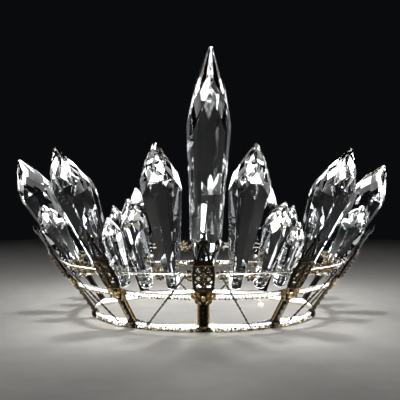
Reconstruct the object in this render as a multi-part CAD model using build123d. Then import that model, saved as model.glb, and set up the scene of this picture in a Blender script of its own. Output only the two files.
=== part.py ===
from build123d import *
import os
from math import atan2, cos, degrees, radians, sin, tan

# A crystal crown: cut-glass prisms stand in a ring and lean outwards over a flared frame.
# The frame is a round base band, a conical middle band, a thin outer rail and ten cast ribs.
# Each rib is one casting: a stem, scroll leaves, a pierced cartouche and a three-ball finial.
# Every prism is drilled across its narrow end and threaded on one stringing wire.
# Millimetres and degrees. The origin is the centre of the base band's lower face, +Z is up,
# and the front of the crown faces -Y. An azimuth is 0 at the front and grows towards +X.

# Base band and middle band
BASE_RADIUS = 74.6          # outer wall of the base band, so the head opening is 73.4 in radius
BAND_THICKNESS = 1.2
BAND_HEIGHT = 6.2
MIDDLE_BAND_BOTTOM = 22.0
MIDDLE_BAND_TOP = 26.8

# Flare of the frame above the base band
FLARE = 34.9                # angle of the ribs from the vertical
RIB_COUNT = 10
RIB_PITCH = 360 / RIB_COUNT
RIB_WIDTH = 6.0
RIB_THICKNESS = 2.0
FOOT_BACKING = 0.4          # extra depth of a rib's foot before the base band's wall is cut from it

# Wires
WIRE_RADIUS = 0.6
STRINGING_RADIUS = 89.0     # radius of the ring that the prisms are threaded on
STRINGING_HEIGHT = 36.2
HOLE_RADIUS = 0.75          # hole in a prism or a spacer bead
RAIL_HEIGHT = 38.2
RAIL_SEAT = 0.6             # depth that the outer rail sits into a rib
TIE_RADIUS = 0.5
TIE_ROOM = 1.3              # length of stringing wire that a tie takes
BRACE_RADIUS = 0.5
BRACE_BOTTOM = 3.0
SOLDER_GAP = 0.03           # between wires that are soldered side by side
BRACE_BOW_ROOM = 0.15       # room between a brace and the middle band that it crosses
BRACE_TOP_STEP = 6.0        # azimuth from a rib to the top end of a brace
BRACE_FOOT_STEP = 8.8       # azimuth from the next rib to its foot
FRONT_RIGHT_FOOT = 22.0     # azimuth of the one brace foot that stands further from its rib
BEAD_RADIUS = 2.5
BEAD_GAP = 0.15             # least room between a prism and its neighbour on the wire
BEAD_ROOM = 2 * BEAD_RADIUS + 0.05

# Prisms: eight-sided, narrow and rounded at the foot, widest at the shoulder, pointed at the tip
SIDES = 8
HOLE_FROM_FOOT = 8.6        # along the prism, from its foot to the stringing wire
RADIUS_AT_HOLE = 4.7
FOOT_PROFILE = [(0.0, 2.9), (1.2, 3.7), (4.0, 4.3), (HOLE_FROM_FOOT, RADIUS_AT_HOLE), (14.0, 5.2)]
SPIRE_PROFILE = [(30.0, 8.9), (62.0, 10.0)]     # the spire swells early and stays slim below its shoulder
SPIRE_LEAST_LENGTH = 120.0
SHOULDER_SHARE = 0.70       # of the length, where the prism is widest
TIP_START_SHARE = 0.71      # of the length, where the tip's facets are a shoulder's radius further out
TIP_BLUNT_SHARE = 0.1       # of the shoulder's radius, the small flat at the tip
TIP_DEPTH_SHARE = 0.5       # of the length, how far down the tip's facets are carried
END_SHARE = 0.82            # of the shoulder's radius, which the body would have at the tip

# name: azimuth, lean outwards, tilt towards +azimuth, length, shoulder radius
PRISMS = {
    "spire_front": (0.5, 26.2, 1.0, 148.2, 12.0),
    "prism_large_left_1": (-12.0, 26.5, 0.0, 94.2, 12.2),
    "prism_large_right_1": (12.6, 26.5, 0.8, 93.7, 12.2),
    "prism_medium_left_1": (-23.0, 24.5, 0.0, 58.7, 8.8),
    "prism_medium_right_1": (23.0, 27.0, 4.0, 57.7, 8.8),
    "prism_small_left_1": (-33.2, 20.5, -1.0, 44.7, 6.6),
    "prism_small_right_1": (32.0, 25.0, 3.0, 43.2, 6.6),
    "prism_large_left_2": (-42.5, 27.2, 0.0, 92.2, 11.8),
    "prism_large_right_2": (42.5, 26.8, 0.0, 91.7, 11.8),
    "prism_medium_left_2": (-72.0, 27.3, 0.0, 51.7, 8.9),
    "prism_medium_right_2": (72.0, 26.5, 0.0, 51.2, 8.9),
    "prism_large_left_3": (-90.0, 28.4, 0.0, 85.2, 11.8),
    "prism_large_right_3": (90.0, 27.8, 0.0, 80.7, 11.8),
    "prism_small_left_2": (-107.0, 26.0, 0.0, 45.2, 6.8),
    "prism_small_right_2": (107.0, 26.0, 0.0, 44.2, 6.8),
    "prism_large_left_4": (-125.0, 26.8, 0.0, 78.7, 11.2),
    "prism_large_right_4": (125.0, 26.8, 0.0, 78.7, 11.2),
    "prism_small_left_3": (-138.5, 25.0, 0.0, 44.2, 6.6),
    "prism_small_right_3": (138.5, 25.0, 0.0, 44.2, 6.6),
    "prism_medium_left_3": (-151.0, 24.5, 0.0, 58.2, 8.2),
    "prism_medium_right_3": (151.0, 24.5, 0.0, 58.2, 8.2),
    "prism_small_left_4": (-164.5, 24.0, 0.0, 45.2, 6.6),
    "prism_small_right_4": (164.5, 24.0, 0.0, 45.2, 6.6),
    "prism_large_back": (180.0, 26.5, 0.0, 90.2, 11.8),
}

# Outline of a rib above the base band. Places are measured up the slope from the band's top.
CARTOUCHE_CENTRE = 38.2
CARTOUCHE_SIZE = (12.6, 20.0)
CARTOUCHE_DEPTH = 3.4
LEAF_CENTRE = 21.5
COLLAR_CENTRE = 49.4
LOOP_CENTRE = 56.0
TREFOIL_CENTRE = 64.2
BALL_RADIUS = 1.5
PRONG_LENGTH = 14.0
PRONG_SPREAD = 11.0         # degrees that a side prong turns away from the rib's middle

# The small bead that hangs under the middle band and swings on its staple
DROP_AZIMUTH = 23.8
DROP_PIN_HEIGHT = 20.9
DROP_PIN_RADIUS = 0.3
DROP_STAPLE_HALF_WIDTH = 1.15
DROP_RING_RADIUS = 0.95
DROP_RING_WIRE = 0.25
DROP_RING_SAG = 0.3         # how far the ring's centre hangs below the pin's
DROP_BEAD_RADIUS = 1.75
DROP_BEAD_HEIGHT = 3.2
DROP_BEAD_BELT = 1.2        # height of the bead's upright middle
DROP_BEAD_END_SHARE = 0.6   # of the bead's radius, at its flat ends
DROP_SHANK_RADIUS = 0.3
DROP_SHANK_ROOM = 0.02
DROP_HEAD_HEIGHT = 0.3
BASE_DOWN = (Align.CENTER, Align.CENTER, Align.MIN)


def frame_radius(height):
    """Radius of the ribs' inner face, which the middle band's outer face shares."""
    return BASE_RADIUS + tan(radians(FLARE)) * max(0.0, height - BAND_HEIGHT)


def at_azimuth(shape, azimuth):
    """Turns a shape made at the front of the crown round to an azimuth."""
    return Rot(0, 0, azimuth) * shape


def ring_point(radius, azimuth, height):
    return Vector(radius * sin(radians(azimuth)), -radius * cos(radians(azimuth)), height)


def wire_ring(radius, height, wire_radius):
    return Pos(0, 0, height) * Torus(radius, wire_radius)


def band_plug(inset):
    """The solid cone inside the middle band's outer face, or that much inside it."""
    low = frame_radius(MIDDLE_BAND_BOTTOM) - inset
    high = frame_radius(MIDDLE_BAND_TOP) - inset
    height = MIDDLE_BAND_TOP - MIDDLE_BAND_BOTTOM
    return Pos(0, 0, MIDDLE_BAND_BOTTOM) * Cone(low, high, height, align=BASE_DOWN)


def base_band():
    """A plain round hoop: an upright strip bent into a ring."""
    outer = Cylinder(BASE_RADIUS, BAND_HEIGHT, align=BASE_DOWN)
    return outer - Cylinder(BASE_RADIUS - BAND_THICKNESS, BAND_HEIGHT, align=BASE_DOWN)


def middle_band():
    """A conical hoop that follows the ribs' flare."""
    return band_plug(0) - band_plug(BAND_THICKNESS)


def rail_radius():
    """Radius of the outer rail, which is let a little way into the ribs' inner faces."""
    return frame_radius(RAIL_HEIGHT) - (WIRE_RADIUS - RAIL_SEAT) / cos(radians(FLARE))


def outer_rail():
    return wire_ring(rail_radius(), RAIL_HEIGHT, WIRE_RADIUS)


def rib_slope():
    """Plane of the front rib's inner face: x across the rib, y up the slope, z outwards."""
    lean = radians(FLARE)
    return Plane(
        origin=(0, -BASE_RADIUS, BAND_HEIGHT), x_dir=(1, 0, 0), z_dir=(0, -cos(lean), -sin(lean))
    )


def mirrored(shape):
    return shape + mirror(shape, about=Plane.YZ)


def leaf_outline():
    """Two curled leaves each side of the stem, where the middle band crosses it."""
    leaf = Pos(4.6, 1.2) * (Circle(2.9) - Circle(1.1)) + Pos(2.9, -3.2) * Circle(1.9)
    return Pos(0, LEAF_CENTRE) * (Ellipse(3.9, 5.2) + mirrored(leaf))


def cartouche_outline():
    """A rounded shield with a ring of round holes about its middle."""
    width, height = CARTOUCHE_SIZE
    shield = RectangleRounded(width, height, 4.4)
    for x, y, radius in [(0, 0, 1.3), (3.2, 2.9, 1.0), (3.2, -2.9, 1.0), (0, 6.0, 1.0), (0, -6.0, 1.0)]:
        for side in {x, -x}:
            shield -= Pos(side, y) * Circle(radius)
    return Pos(0, CARTOUCHE_CENTRE) * shield


def finial_outline():
    """A collar, an open pointed loop with three balls on it, and a slender prong each side."""
    collar = Pos(0, COLLAR_CENTRE) * RectangleRounded(11.6, 2.6, 1.2)
    loop = Pos(0, LOOP_CENTRE) * (Ellipse(3.8, 7.4) - Ellipse(2.3, 5.6))
    balls = Pos(0, TREFOIL_CENTRE + 1.3 * BALL_RADIUS) * Circle(BALL_RADIUS)
    balls += mirrored(Pos(0.9 * BALL_RADIUS, TREFOIL_CENTRE - 0.4 * BALL_RADIUS) * Circle(BALL_RADIUS))
    stalk = Pos(0, PRONG_LENGTH / 2) * Rectangle(0.9, PRONG_LENGTH)
    bud = Pos(0, PRONG_LENGTH) * Ellipse(1.1, 2.2)
    prong = Pos(4.9, COLLAR_CENTRE) * Rot(0, 0, -PRONG_SPREAD) * (stalk + bud)
    return collar + loop + balls + mirrored(prong)


def rib():
    """One casting: an upright foot on the base band and the ornamented slope above it."""
    stem_top = CARTOUCHE_CENTRE - CARTOUCHE_SIZE[1] / 2 + 1
    stem = Pos(0, stem_top / 2) * Rectangle(RIB_WIDTH, stem_top)
    slope = extrude(stem + leaf_outline() + finial_outline(), RIB_THICKNESS)
    slope += extrude(cartouche_outline(), CARTOUCHE_DEPTH)
    foot = Box(RIB_WIDTH, RIB_THICKNESS + FOOT_BACKING, BAND_HEIGHT, align=BASE_DOWN)
    casting = rib_slope() * slope + Pos(0, -(BASE_RADIUS + RIB_THICKNESS / 2), 0) * foot
    casting -= Cylinder(BASE_RADIUS, BAND_HEIGHT, align=BASE_DOWN)
    return casting - band_plug(0) - outer_rail()


def prism_blank(length, shoulder):
    """A straight prism on its own axis, foot at the origin: tapered body cut by a pointed tip.

    The tip's facets are turned by half a side from the body's, so they meet in a zigzag.
    """
    sections = [*FOOT_PROFILE]
    if length > SPIRE_LEAST_LENGTH:
        sections += SPIRE_PROFILE
    sections += [(SHOULDER_SHARE * length, shoulder), (length, END_SHARE * shoulder)]
    body = loft([Pos(0, 0, at) * RegularPolygon(radius, SIDES) for at, radius in sections], ruled=True)
    slope = shoulder / ((1 - TIP_START_SHARE) * length)
    depth = TIP_DEPTH_SHARE * length
    blunt = TIP_BLUNT_SHARE * shoulder
    turned = Rot(0, 0, 180 / SIDES)
    tip = loft(
        [
            Pos(0, 0, length - depth) * turned * RegularPolygon(blunt + slope * depth, SIDES),
            Pos(0, 0, length) * turned * RegularPolygon(blunt, SIDES),
        ],
        ruled=True,
    )
    foot_room = Cylinder(3 * shoulder, length - depth, align=BASE_DOWN)
    return body & (tip + foot_room)


def prism(azimuth, lean, tilt, length, shoulder):
    """Stands a prism on the stringing wire, leaning outwards, and drills it for the wire."""
    blank = Pos(0, 0, -HOLE_FROM_FOOT) * prism_blank(length, shoulder)
    placed = Pos(0, -STRINGING_RADIUS, STRINGING_HEIGHT) * Rot(lean, 0, 0) * Rot(0, tilt, 0) * blank
    return at_azimuth(placed, azimuth) - wire_ring(STRINGING_RADIUS, STRINGING_HEIGHT, HOLE_RADIUS)


def gaps():
    """(start, end) azimuths of the stretches of stringing wire that show between two prisms."""
    order = sorted(data[0] for data in PRISMS.values())
    half = (RADIUS_AT_HOLE + BEAD_GAP) / radians(STRINGING_RADIUS)
    following = order[1:] + [order[0] + 360]
    return [(a + half, b - half) for a, b in zip(order, following)]


def wire_contents():
    """Azimuths of the ties and the spacer beads. Each gap holds a tie, then as many beads as fit."""
    per_degree = radians(STRINGING_RADIUS)
    ties, beads = [], []
    for start, end in gaps():
        room = (end - start) * per_degree
        count = max(0, int((room - TIE_ROOM) / BEAD_ROOM))
        spare = room - TIE_ROOM - count * BEAD_ROOM
        here = start + (spare / 2) / per_degree
        ties.append(here + TIE_ROOM / 2 / per_degree)
        here += TIE_ROOM / per_degree
        for _ in range(count):
            beads.append(here + BEAD_ROOM / 2 / per_degree)
            here += BEAD_ROOM / per_degree
    return ties, beads


def tie(azimuth):
    """A short wire from the outer rail in to the stringing wire, touching both."""
    start = ring_point(STRINGING_RADIUS, azimuth, STRINGING_HEIGHT)
    run = ring_point(rail_radius(), azimuth, RAIL_HEIGHT) - start
    margin = WIRE_RADIUS + SOLDER_GAP
    length = run.length - 2 * margin
    wire = Cylinder(TIE_RADIUS, length, align=BASE_DOWN)
    return Plane(origin=start + run.normalized() * margin, z_dir=run) * wire


def spacer_bead(azimuth):
    bead = Sphere(BEAD_RADIUS) - Rot(0, 90, 0) * Cylinder(HOLE_RADIUS, 3 * BEAD_RADIUS)
    return at_azimuth(Pos(0, -STRINGING_RADIUS, STRINGING_HEIGHT) * bead, azimuth)


def brace(top_azimuth, foot_azimuth):
    """A thin stay from the outer rail to the base band.

    It is as straight as the middle band lets it be: its highest point of bow is the straight
    line's own point at the band, moved outwards until it clears the band.
    """
    foot = ring_point(BASE_RADIUS + BRACE_RADIUS + SOLDER_GAP, foot_azimuth, BRACE_BOTTOM)
    head_step = WIRE_RADIUS + BRACE_RADIUS + 2 * SOLDER_GAP     # square to the frame's slope
    head_radius = rail_radius() + head_step * cos(radians(FLARE))
    head = ring_point(head_radius, top_azimuth, RAIL_HEIGHT - head_step * sin(radians(FLARE)))
    middle = (MIDDLE_BAND_BOTTOM + MIDDLE_BAND_TOP) / 2
    straight = foot + (head - foot) * (middle - foot.Z) / (head.Z - foot.Z)
    bow_radius = frame_radius(middle) + BRACE_RADIUS / cos(radians(FLARE)) + BRACE_BOW_ROOM
    bow = ring_point(bow_radius, degrees(atan2(straight.X, -straight.Y)), middle)
    path = ThreePointArc(foot, bow, head)
    return sweep(Plane(origin=path @ 0, z_dir=path % 0) * Circle(BRACE_RADIUS), path=path)


def brace_azimuths():
    """Pairs of top and foot azimuths: even ribs take the tops, odd ribs the feet."""
    found = []
    for even in range(0, RIB_COUNT, 2):
        for side in (-1, 1):
            top = even * RIB_PITCH + side * BRACE_TOP_STEP
            foot = (even + side) * RIB_PITCH - side * BRACE_FOOT_STEP
            if (even, side) == (0, 1):
                foot = FRONT_RIGHT_FOOT
            found.append((top, foot))
    return found


def drop_frame():
    """Plane at the drop's pin: x along the band, y outwards, z up."""
    radius = frame_radius(MIDDLE_BAND_BOTTOM) - BAND_THICKNESS / 2
    return Pos(0, -radius, DROP_PIN_HEIGHT)


def drop_staple():
    """A wire staple under the middle band: two legs and the pin that the drop hangs on."""
    leg_length = MIDDLE_BAND_BOTTOM - DROP_PIN_HEIGHT
    leg = Cylinder(DROP_PIN_RADIUS, leg_length, align=BASE_DOWN)
    pin = Rot(0, 90, 0) * Cylinder(DROP_PIN_RADIUS, 2 * DROP_STAPLE_HALF_WIDTH)
    corner = Sphere(DROP_PIN_RADIUS)
    shape = pin
    for x in (-DROP_STAPLE_HALF_WIDTH, DROP_STAPLE_HALF_WIDTH):
        shape += Pos(x, 0, 0) * (leg + corner)
    return at_azimuth(drop_frame() * shape, DROP_AZIMUTH)


def drop_heights():
    """Heights below the pin of the ring's centre and the bead's top and bottom."""
    ring = -DROP_RING_SAG
    bead_top = ring - DROP_RING_RADIUS - DROP_RING_WIRE
    return ring, bead_top, bead_top - DROP_BEAD_HEIGHT


def drop_eye_pin():
    """The ring round the staple, with a shank down through the bead and a small head."""
    ring, _, bottom = drop_heights()
    loop = Pos(0, 0, ring) * Rot(0, 90, 0) * Torus(DROP_RING_RADIUS, DROP_RING_WIRE)
    shank_top = ring - DROP_RING_RADIUS
    shank = Cylinder(DROP_SHANK_RADIUS, shank_top - bottom, align=BASE_DOWN)
    head = Pos(0, 0, -DROP_HEAD_HEIGHT) * Cylinder(2 * DROP_SHANK_RADIUS, DROP_HEAD_HEIGHT, align=BASE_DOWN)
    return at_azimuth(drop_frame() * (loop + Pos(0, 0, bottom) * (shank + head)), DROP_AZIMUTH)


def drop_bead():
    """A small faceted bead: a double cone of six sides with flat ends, bored for the shank."""
    _, top, bottom = drop_heights()
    middle = (top + bottom) / 2
    ends = DROP_BEAD_END_SHARE * DROP_BEAD_RADIUS
    belt = [(middle - DROP_BEAD_BELT / 2, DROP_BEAD_RADIUS), (middle + DROP_BEAD_BELT / 2, DROP_BEAD_RADIUS)]
    levels = [(bottom, ends), *belt, (top, ends)]
    bead = loft([Pos(0, 0, at) * RegularPolygon(radius, 6) for at, radius in levels], ruled=True)
    bore = Pos(0, 0, middle) * Cylinder(DROP_SHANK_RADIUS + DROP_SHANK_ROOM, 2 * DROP_BEAD_HEIGHT)
    return at_azimuth(drop_frame() * (bead - bore), DROP_AZIMUTH)


def build():
    """Every node of the crown, by name."""
    ties, beads = wire_contents()
    nodes = {
        "base_band": base_band(),
        "middle_band": middle_band(),
        "stringing_wire": wire_ring(STRINGING_RADIUS, STRINGING_HEIGHT, WIRE_RADIUS),
        "outer_rail": outer_rail(),
        "wire_ties": Compound(children=[tie(a) for a in ties]),
        "spacer_beads": Compound(children=[spacer_bead(a) for a in beads]),
        "drop_staple": drop_staple(),
        "drop_eye_pin": drop_eye_pin(),
        "drop_bead": drop_bead(),
    }
    for number in range(RIB_COUNT):
        nodes[f"rib_{number + 1:02d}"] = at_azimuth(rib(), number * RIB_PITCH)
    for number, (top, foot) in enumerate(brace_azimuths(), 1):
        nodes[f"brace_{number:02d}"] = brace(top, foot)
    for name, data in PRISMS.items():
        nodes[name] = prism(*data)
    return nodes


os.makedirs("parts", exist_ok=True)
for node_name, node_shape in build().items():
    export_step(node_shape, f"parts/{node_name}.step")
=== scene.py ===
# %% [markdown]
# # A crystal crown
# Pointed prisms of cut glass stand in a ring on a flared metal frame. The CAD model gives every
# size and place. This script keeps those, and gives each piece the surface and the fine detail
# of the real thing. It starts by loading the frame and noting how large the CAD model is.

# %% Load the frame
import math

import bpy
import numpy as np
from mathutils import Euler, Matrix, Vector


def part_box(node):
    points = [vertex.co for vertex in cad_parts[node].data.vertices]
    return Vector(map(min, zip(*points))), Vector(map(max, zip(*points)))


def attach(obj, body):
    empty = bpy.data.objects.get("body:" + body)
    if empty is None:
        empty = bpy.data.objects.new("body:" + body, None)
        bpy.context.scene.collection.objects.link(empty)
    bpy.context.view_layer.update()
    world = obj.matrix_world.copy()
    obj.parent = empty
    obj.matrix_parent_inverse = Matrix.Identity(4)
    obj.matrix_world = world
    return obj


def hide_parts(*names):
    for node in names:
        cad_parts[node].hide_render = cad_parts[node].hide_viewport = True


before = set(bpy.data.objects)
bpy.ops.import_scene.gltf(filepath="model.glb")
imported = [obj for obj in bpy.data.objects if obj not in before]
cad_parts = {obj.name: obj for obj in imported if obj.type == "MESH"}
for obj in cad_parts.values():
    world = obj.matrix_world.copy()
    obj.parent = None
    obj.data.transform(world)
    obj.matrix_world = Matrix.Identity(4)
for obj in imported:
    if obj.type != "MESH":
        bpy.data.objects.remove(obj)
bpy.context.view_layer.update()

MM = 0.001
rng = np.random.default_rng(7)
print("CAD nodes:", len(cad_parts))

# %% [markdown]
# ## Measuring the frame
# Nothing here is fitted by eye. Each new piece asks the CAD mesh where it belongs. Lengths are
# turned into millimetres once, on the way in, and back into metres once, when a mesh is made.

# %% Read points from a CAD node
def cad_points(node):
    """The vertices of a CAD node, in millimetres, as an array with one row each."""
    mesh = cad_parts[node].data
    flat = np.empty(3 * len(mesh.vertices))
    mesh.vertices.foreach_get("co", flat)
    return flat.reshape(-1, 3) / MM


def cad_triangles(node):
    """The triangles of a CAD node, as rows of three vertex numbers."""
    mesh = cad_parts[node].data
    mesh.calc_loop_triangles()
    flat = np.empty(3 * len(mesh.loop_triangles), dtype=np.int64)
    mesh.loop_triangles.foreach_get("vertices", flat)
    return flat.reshape(-1, 3)


def solid_centres(node):
    """Box centres of a node's separate solids: corners joined by a triangle share a label."""
    points, whole = np.unique(np.round(cad_points(node), 3), axis=0, return_inverse=True)
    triangles = whole.reshape(-1)[cad_triangles(node)]
    label = np.arange(len(points))
    while True:
        lower = label.copy()
        np.minimum.at(lower, triangles, label[triangles].min(axis=1, keepdims=True))
        if (lower == label).all():
            break
        label = lower
    groups = [points[label == k] for k in np.unique(label)]
    return np.array([(g.min(axis=0) + g.max(axis=0)) / 2 for g in groups])


def ring_size(node):
    """Centre-line radius, height and wire radius of a CAD ring of round wire."""
    low, high = (np.array(corner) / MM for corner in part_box(node))
    wire = (high[2] - low[2]) / 2
    return high[0] - wire, (high[2] + low[2]) / 2, wire


def band_size(node):
    """Lower and upper height of a band, its outer radius at each, and its thickness at the bottom.
    """
    points = cad_points(node)
    radius = np.hypot(points[:, 0], points[:, 1])
    low, high = points[:, 2].min(), points[:, 2].max()
    bottom = radius[points[:, 2] < low + 0.01]
    top = radius[points[:, 2] > high - 0.01]
    return low, high, bottom.max(), top.max(), bottom.max() - bottom.min()


BASE = band_size("base_band")
MIDDLE = band_size("middle_band")
STRINGING = ring_size("stringing_wire")
FLARE = math.atan2(MIDDLE[3] - BASE[3], MIDDLE[1] - BASE[1])
RIBS = sorted(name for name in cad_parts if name.startswith("rib_"))
BRACES = sorted(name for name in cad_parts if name.startswith("brace_"))
PRISMS = sorted(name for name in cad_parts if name.startswith(("prism_", "spire_")))
RIB_PITCH = 2 * math.pi / len(RIBS)
print("flare of the ribs, degrees:", round(math.degrees(FLARE), 1), " prisms:", len(PRISMS))

# %% [markdown]
# ## Surfaces from arrays
# A shape is a pair: an array of points, and a list of face arrays. Nearly all of them are one
# grid of points wrapped round into a skin and capped, which is quick and always closed.

# %% Grids, tubes and balls
def skin(grid, closed=False):
    """Wraps a grid of points (rows along, columns round) into a closed surface.

    Neighbouring points make quads. Columns always join up; rows join too when `closed` is set,
    and otherwise each end is capped with one face.
    """
    rows, columns, _ = grid.shape
    number = np.arange(rows * columns).reshape(rows, columns)
    here = number if closed else number[:-1]
    above = np.roll(number, -1, axis=0) if closed else number[1:]
    quads = np.stack([here, np.roll(here, -1, 1), np.roll(above, -1, 1), above], axis=-1)
    faces = [quads.reshape(-1, 4)]
    if not closed:
        faces += [number[0, ::-1][None], number[-1][None]]
    return grid.reshape(-1, 3), faces


def joined(shapes):
    """Puts several shapes into one: points are stacked and face numbers moved up to match."""
    points, faces, count = [], [], 0
    for shape_points, shape_faces in shapes:
        points.append(shape_points)
        faces += [face + count for face in shape_faces]
        count += len(shape_points)
    return np.concatenate(points), faces


def repeated(shape, matrices, places):
    """Copies a shape many times: point = matrix * point + place, for all copies at once."""
    points, faces = shape
    count = len(points)
    moved = np.einsum("nij,pj->npi", matrices, points) + places[:, None, :]
    shift = np.arange(len(places))[:, None, None] * count
    return moved.reshape(-1, 3), [(face[None] + shift).reshape(-1, face.shape[1]) for face in faces]


def tube(path, radius, sides=10, flat=1.0, closed=False, up=(0, 0, 1)):
    """Carries a circle of the given radius along a path.

    The circle stands in the plane of `up` and the sideways direction, tangent x up. `flat`
    scales it along `up`, which makes a strap or a leaf out of a rod.
    """
    ahead = np.roll(path, -1, 0) - np.roll(path, 1, 0) if closed else np.gradient(path, axis=0)
    ahead /= np.linalg.norm(ahead, axis=1, keepdims=True)
    side = np.cross(ahead, np.array(up, float))
    side /= np.linalg.norm(side, axis=1, keepdims=True)
    top = np.cross(side, ahead)
    angle = np.linspace(0, 2 * math.pi, sides, endpoint=False)[None, :, None]
    radius = np.broadcast_to(radius, len(path))[:, None, None]
    ring = np.cos(angle) * side[:, None] + flat * np.sin(angle) * top[:, None]
    return skin(path[:, None] + radius * ring, closed)


def ball(centre, radii, rows=7, columns=10):
    """An ellipsoid: rings of latitude between two small polar caps."""
    latitude = np.radians(np.linspace(-80, 80, rows))[:, None]
    longitude = np.linspace(0, 2 * math.pi, columns, endpoint=False)[None]
    x = np.cos(latitude) * np.cos(longitude)
    y = np.cos(latitude) * np.sin(longitude)
    z = np.sin(latitude) + 0 * longitude
    return skin(np.stack([x, y, z], -1) * np.broadcast_to(radii, 3) + np.array(centre, float))


GRANULE = ball((0, 0, 0), 1.0, rows=4, columns=6)
print("points in a granule:", len(GRANULE[0]))

# %% [markdown]
# ## Turning a shape into a piece
# Every piece is a mesh whose points are already in place, so its object sits at the origin. It
# rides on a body of the frame, the CAD nodes it stands for are hidden, and it takes a finish.

# %% Make a piece
def make_object(name, shape, material, smooth_below=35.0, relief=None):
    """Builds a mesh object, shades it smooth below an angle, and stores the relief if given."""
    points, faces = shape
    mesh = bpy.data.meshes.new(name)
    mesh.from_pydata((points * MM).tolist(), [], [f for group in faces for f in group.tolist()])
    mesh.update()
    if relief is not None:
        mesh.attributes.new("relief", "FLOAT", "POINT").data.foreach_set("value", relief)
    if smooth_below:
        mesh.shade_smooth()
        mesh.set_sharp_from_angle(angle=math.radians(smooth_below))
    else:
        mesh.shade_flat()
    piece = bpy.data.objects.new(name, mesh)
    bpy.context.scene.collection.objects.link(piece)
    mesh.materials.append(material)
    return piece


def settle(piece, body, slot, *nodes):
    """Puts a piece on its body and hides the CAD nodes it stands for. The slot is not used."""
    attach(piece, body)
    if nodes:
        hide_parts(*nodes)


def around(azimuth):
    """Outward and sideways unit vectors at an azimuth: 0 is the front, and +X is at 90."""
    azimuth = np.asarray(azimuth, float)
    zero = np.zeros_like(azimuth)
    outward = np.stack([np.sin(azimuth), -np.cos(azimuth), zero], -1)
    sideways = np.stack([np.cos(azimuth), np.sin(azimuth), zero], -1)
    return outward, sideways


# %% [markdown]
# ## Colours and nodes
# Colours are written as the sRGB hex values that a colour picker shows. A renderer works in
# linear light, so one function converts them. A second one adds a shader node with its settings,
# and every material below is built with it. Patterns are laid on Object coordinates, in metres,
# so a pattern's scale follows from the real size of one speck.

# %% Colour and node helpers
NOISE, RAMP, RANGE = "ShaderNodeTexNoise", "ShaderNodeValToRGB", "ShaderNodeMapRange"
BUMP, SHADER, OUTPUT = "ShaderNodeBump", "ShaderNodeBsdfPrincipled", "ShaderNodeOutputMaterial"


def linear(code):
    """An sRGB hex colour as linear RGBA, by the sRGB curve: a short straight toe, then a power."""
    parts = np.array([int(code[i:i + 2], 16) for i in (1, 3, 5)]) / 255
    bent = np.where(parts <= 0.04045, parts / 12.92, ((parts + 0.055) / 1.055) ** 2.4)
    return (*bent.tolist(), 1.0)


def per_metre(size):
    """Specks of a pattern to the metre, from the size of one speck in millimetres."""
    return 1 / (size * MM)


def add(material, kind, settings=(), values=(), links=(), stops=()):
    """Adds a node with its settings, fixed values, links and, for a ramp, its colour stops."""
    made = material.node_tree.nodes.new(kind)
    for key, value in dict(settings).items():
        setattr(made, key, value)
    for key, value in dict(values).items():
        made.inputs[key].default_value = value
    for key, source in dict(links).items():
        material.node_tree.links.new(source, made.inputs[key])
    while stops and len(made.color_ramp.elements) < len(stops):
        made.color_ramp.elements.new(0.5)
    for number, (position, code) in enumerate(stops):
        made.color_ramp.elements[number].position = position
        made.color_ramp.elements[number].color = linear(code)
    return made


def new_material(name):
    """An empty material, and the Object coordinates that its patterns are laid on."""
    material = bpy.data.materials.new(name)
    material.use_nodes = True
    material.node_tree.nodes.clear()
    return material, add(material, "ShaderNodeTexCoord").outputs["Object"]


print("mid grey in linear light:", round(linear("#808080")[0], 3))

# %% [markdown]
# ## Cut lead crystal
# The prisms are clear pressed glass with ground and polished facets. Lead glass bends light more
# than window glass, so the index is 1.54. The eye sees the room through it, bent and broken up.
# Polished facets are never quite clean, so the roughness drifts over about a centimetre, and a
# very low bump, two centimetres from crest to crest, stands for the waviness of polishing.

# %% Cut crystal
def cut_crystal():
    """Clear glass with a drifting polish and a faint wave."""
    material, spot = new_material("cut_lead_crystal")
    smear = add(material, NOISE, values={"Scale": per_metre(11.11), "Detail": 3.0},
                links={"Vector": spot}).outputs["Fac"]
    wave = add(material, NOISE, values={"Scale": per_metre(22.22), "Detail": 1.0},
               links={"Vector": spot}).outputs["Fac"]
    rough = add(material, RANGE, values={"To Min": 0.0, "To Max": 0.03}, links={"Value": smear})
    tint = add(material, RAMP, links={"Fac": wave}, stops=[(0.35, "#F3F7FA"), (0.65, "#FBFCFD")])
    waviness = add(material, BUMP, values={"Strength": 0.06, "Distance": 0.0006},
                   links={"Height": wave})
    shader = add(material, SHADER, values={"Transmission Weight": 1.0, "IOR": 1.54},
                 links={"Base Color": tint.outputs["Color"], "Roughness": rough.outputs["Result"],
                        "Normal": waviness.outputs["Normal"]})
    add(material, OUTPUT, links={"Surface": shader.outputs["BSDF"]})
    return material


CRYSTAL = cut_crystal()
print("glass:", CRYSTAL.name)

# %% [markdown]
# ## Rose glass
# The hanging bead is pressed glass of a cloudy pink. Part of the light passes and part scatters
# inside, so it glows evenly and has no dark middle. Its clouds are about a millimetre across.

# %% Pressed rose glass
def rose_glass():
    """Pink glass that passes a third of the light and scatters the rest."""
    material, spot = new_material("pressed_rose_glass")
    cloud = add(material, NOISE, values={"Scale": per_metre(1.111), "Detail": 3.0},
                links={"Vector": spot})
    tint = add(material, RAMP, links={"Fac": cloud.outputs["Fac"]},
               stops=[(0.3, "#D4908C"), (0.7, "#E9B5AF")])
    shader = add(material, SHADER,
                 values={"Transmission Weight": 0.35, "IOR": 1.5, "Roughness": 0.12},
                 links={"Base Color": tint.outputs["Color"]})
    add(material, OUTPUT, links={"Surface": shader.outputs["BSDF"]})
    return material


ROSE = rose_glass()
print("glass:", ROSE.name)
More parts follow.
